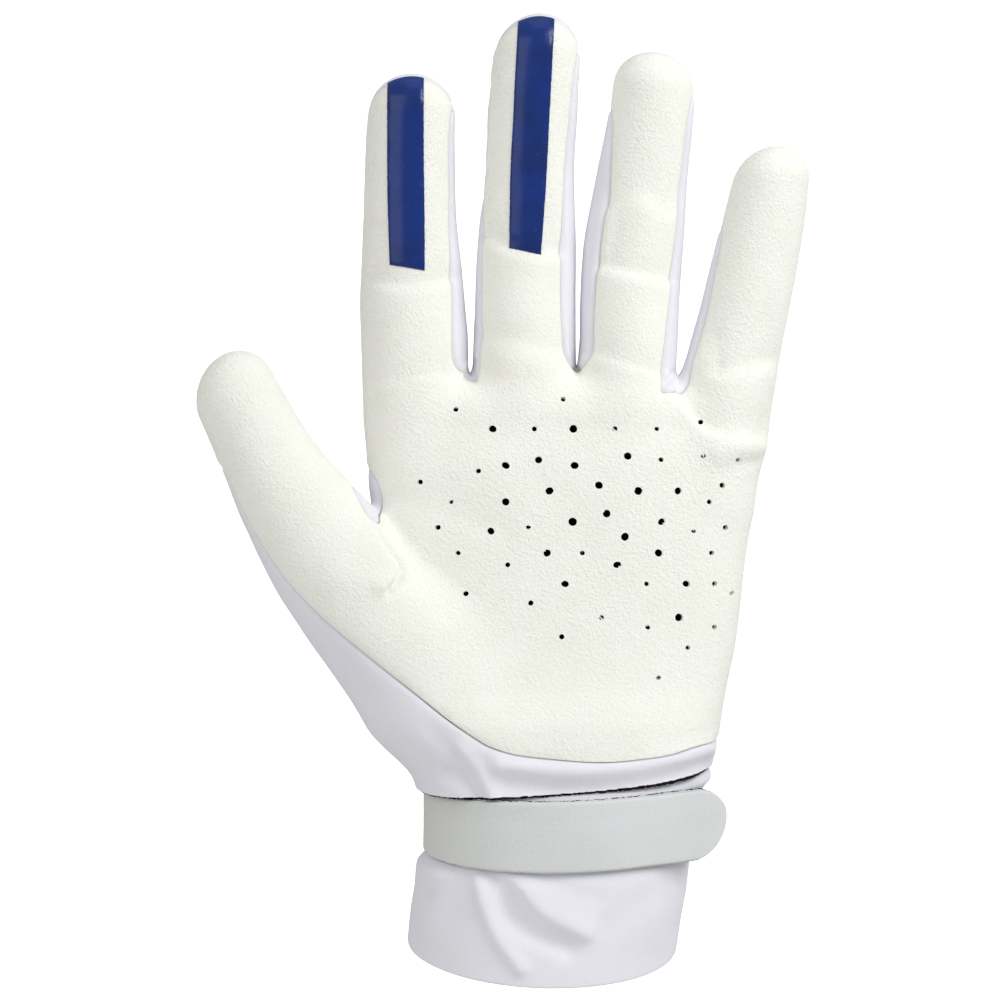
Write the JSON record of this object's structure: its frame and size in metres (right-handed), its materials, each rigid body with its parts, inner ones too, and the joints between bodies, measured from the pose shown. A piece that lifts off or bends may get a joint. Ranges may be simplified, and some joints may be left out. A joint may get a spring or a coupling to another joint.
{
  "type": "left-hand motocross glove",
  "caption": "Left-hand motocross glove in its worn shape: vented suede palm, stretch cloth back, finger gussets, cuff with wrist strap, rubber finger grips.",
  "frame": {"origin": "centre of the cuff's opening, on the slanted plane of the hem", "axes": "+Z along the hand towards the fingertips, -Y the way the palm faces, +X towards the little finger"},
  "size_m": [0.152, 0.0521, 0.241],
  "materials": {
    "suede": "fine matt nap",
    "stretch_cloth": "fine matt twill",
    "strap_leather": "fine grain, semi-matt",
    "grip_rubber": "glossy"
  },
  "bodies": {
    "root": {"palm_panel": "suede", "hand_back": "stretch_cloth", "gusset_index_middle": "stretch_cloth", "gusset_middle_ring": "stretch_cloth", "gusset_ring_little": "stretch_cloth", "cuff": "stretch_cloth", "wrist_strap": "strap_leather", "grip_index": "grip_rubber", "grip_middle": "grip_rubber"}
  },
  "joints": []
}
